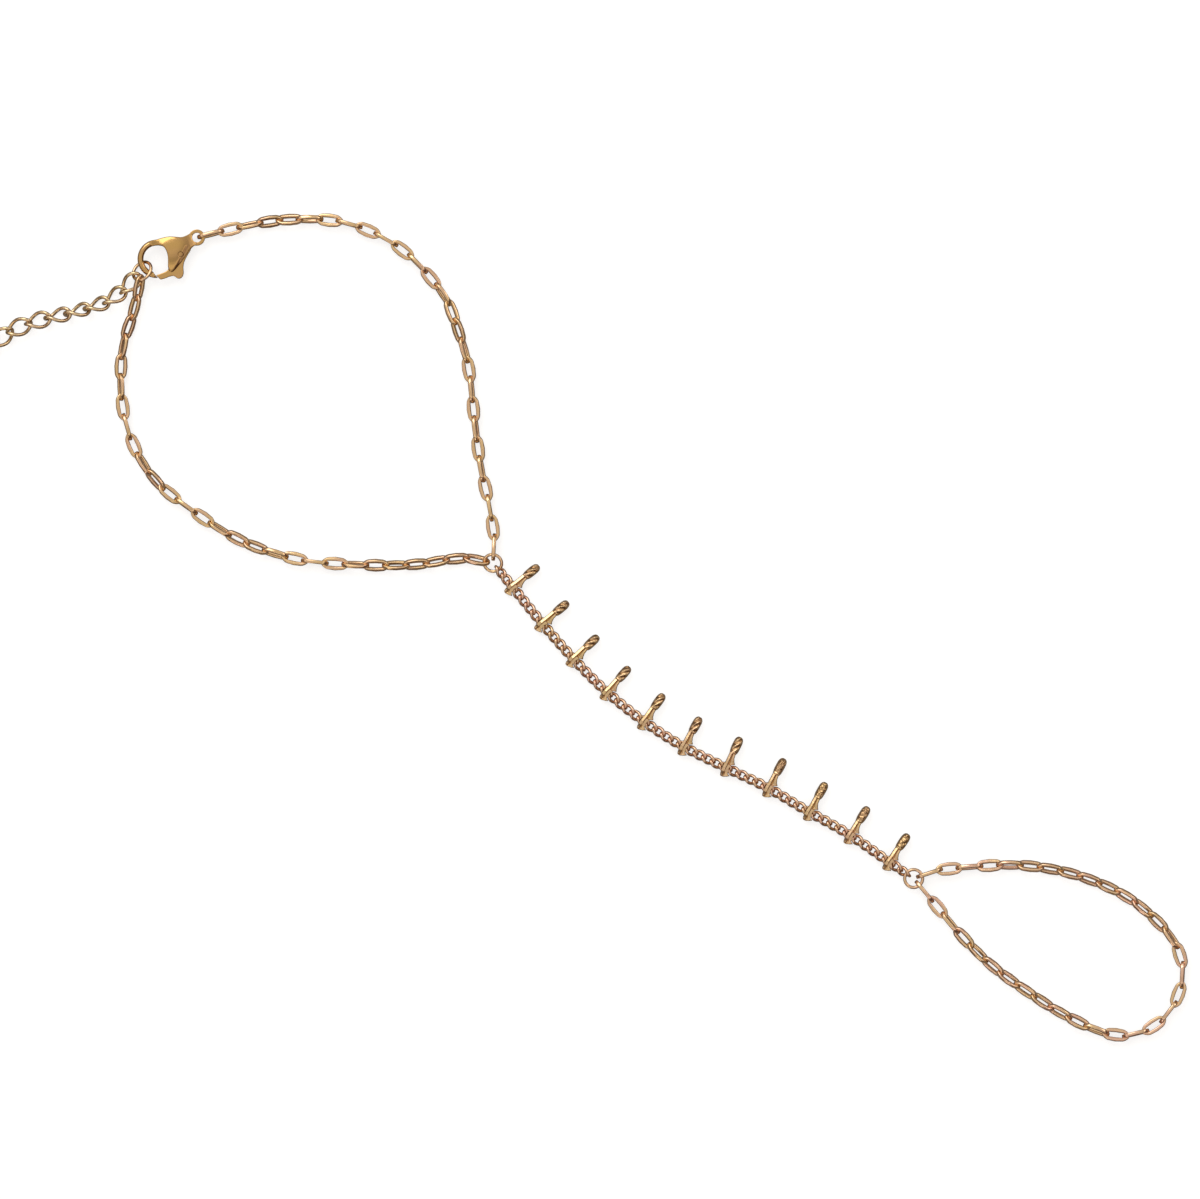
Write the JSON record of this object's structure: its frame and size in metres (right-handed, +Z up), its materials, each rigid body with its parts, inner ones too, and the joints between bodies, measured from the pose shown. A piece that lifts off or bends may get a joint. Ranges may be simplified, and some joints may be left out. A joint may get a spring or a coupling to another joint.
{
  "type": "hand chain bracelet",
  "caption": "Hand chain bracelet: cable-link wrist chain with lobster clasp and curb extender, joined by a fine curb chain of spike bars to a cable-link finger loop.",
  "frame": {"origin": "under the middle of the bracelet's bounding box, on the surface that it lies on", "axes": "+X runs from the wrist loop to the finger loop, the spike bars point to +Y, +Z is up from the surface"},
  "size_m": [0.1764, 0.0482, 0.0026],
  "materials": {
    "gold_links": "polished gold plate",
    "rose_gold_links": "polished gold plate",
    "rose_gold_curb": "polished gold plate",
    "gold_extender": "polished gold plate",
    "gold_clasp": "polished gold plate",
    "gold_bars": "polished gold plate"
  },
  "bodies": {
    "bracelet": {"wrist_chain_right": "gold_links", "wrist_chain_left": "gold_links", "finger_chain": "rose_gold_links", "centre_chain": "rose_gold_curb", "extender_chain": "gold_extender", "wrist_ring": "gold_links", "finger_ring": "rose_gold_links", "end_ring": "gold_links", "clasp_body": "gold_clasp", "clasp_pin": "gold_clasp", "bar_1": "gold_bars", "bar_2": "gold_bars", "bar_3": "gold_bars", "bar_4": "gold_bars", "bar_5": "gold_bars", "bar_6": "gold_bars", "bar_7": "gold_bars", "bar_8": "gold_bars", "bar_9": "gold_bars", "bar_10": "gold_bars", "bar_11": "gold_bars"},
    "lever": {"clasp_lever": "gold_clasp"}
  },
  "joints": [
    {"name": "lever_hinge", "type": "hinge", "parent": "bracelet", "child": "lever", "pos_m": [-0.07415, 0.00554, 0.00111], "axis": [0, 0, -1], "range_deg": [0, 12], "stiffness_Nm_per_rad": 0.006, "springref_deg": -11.46}
  ]
}
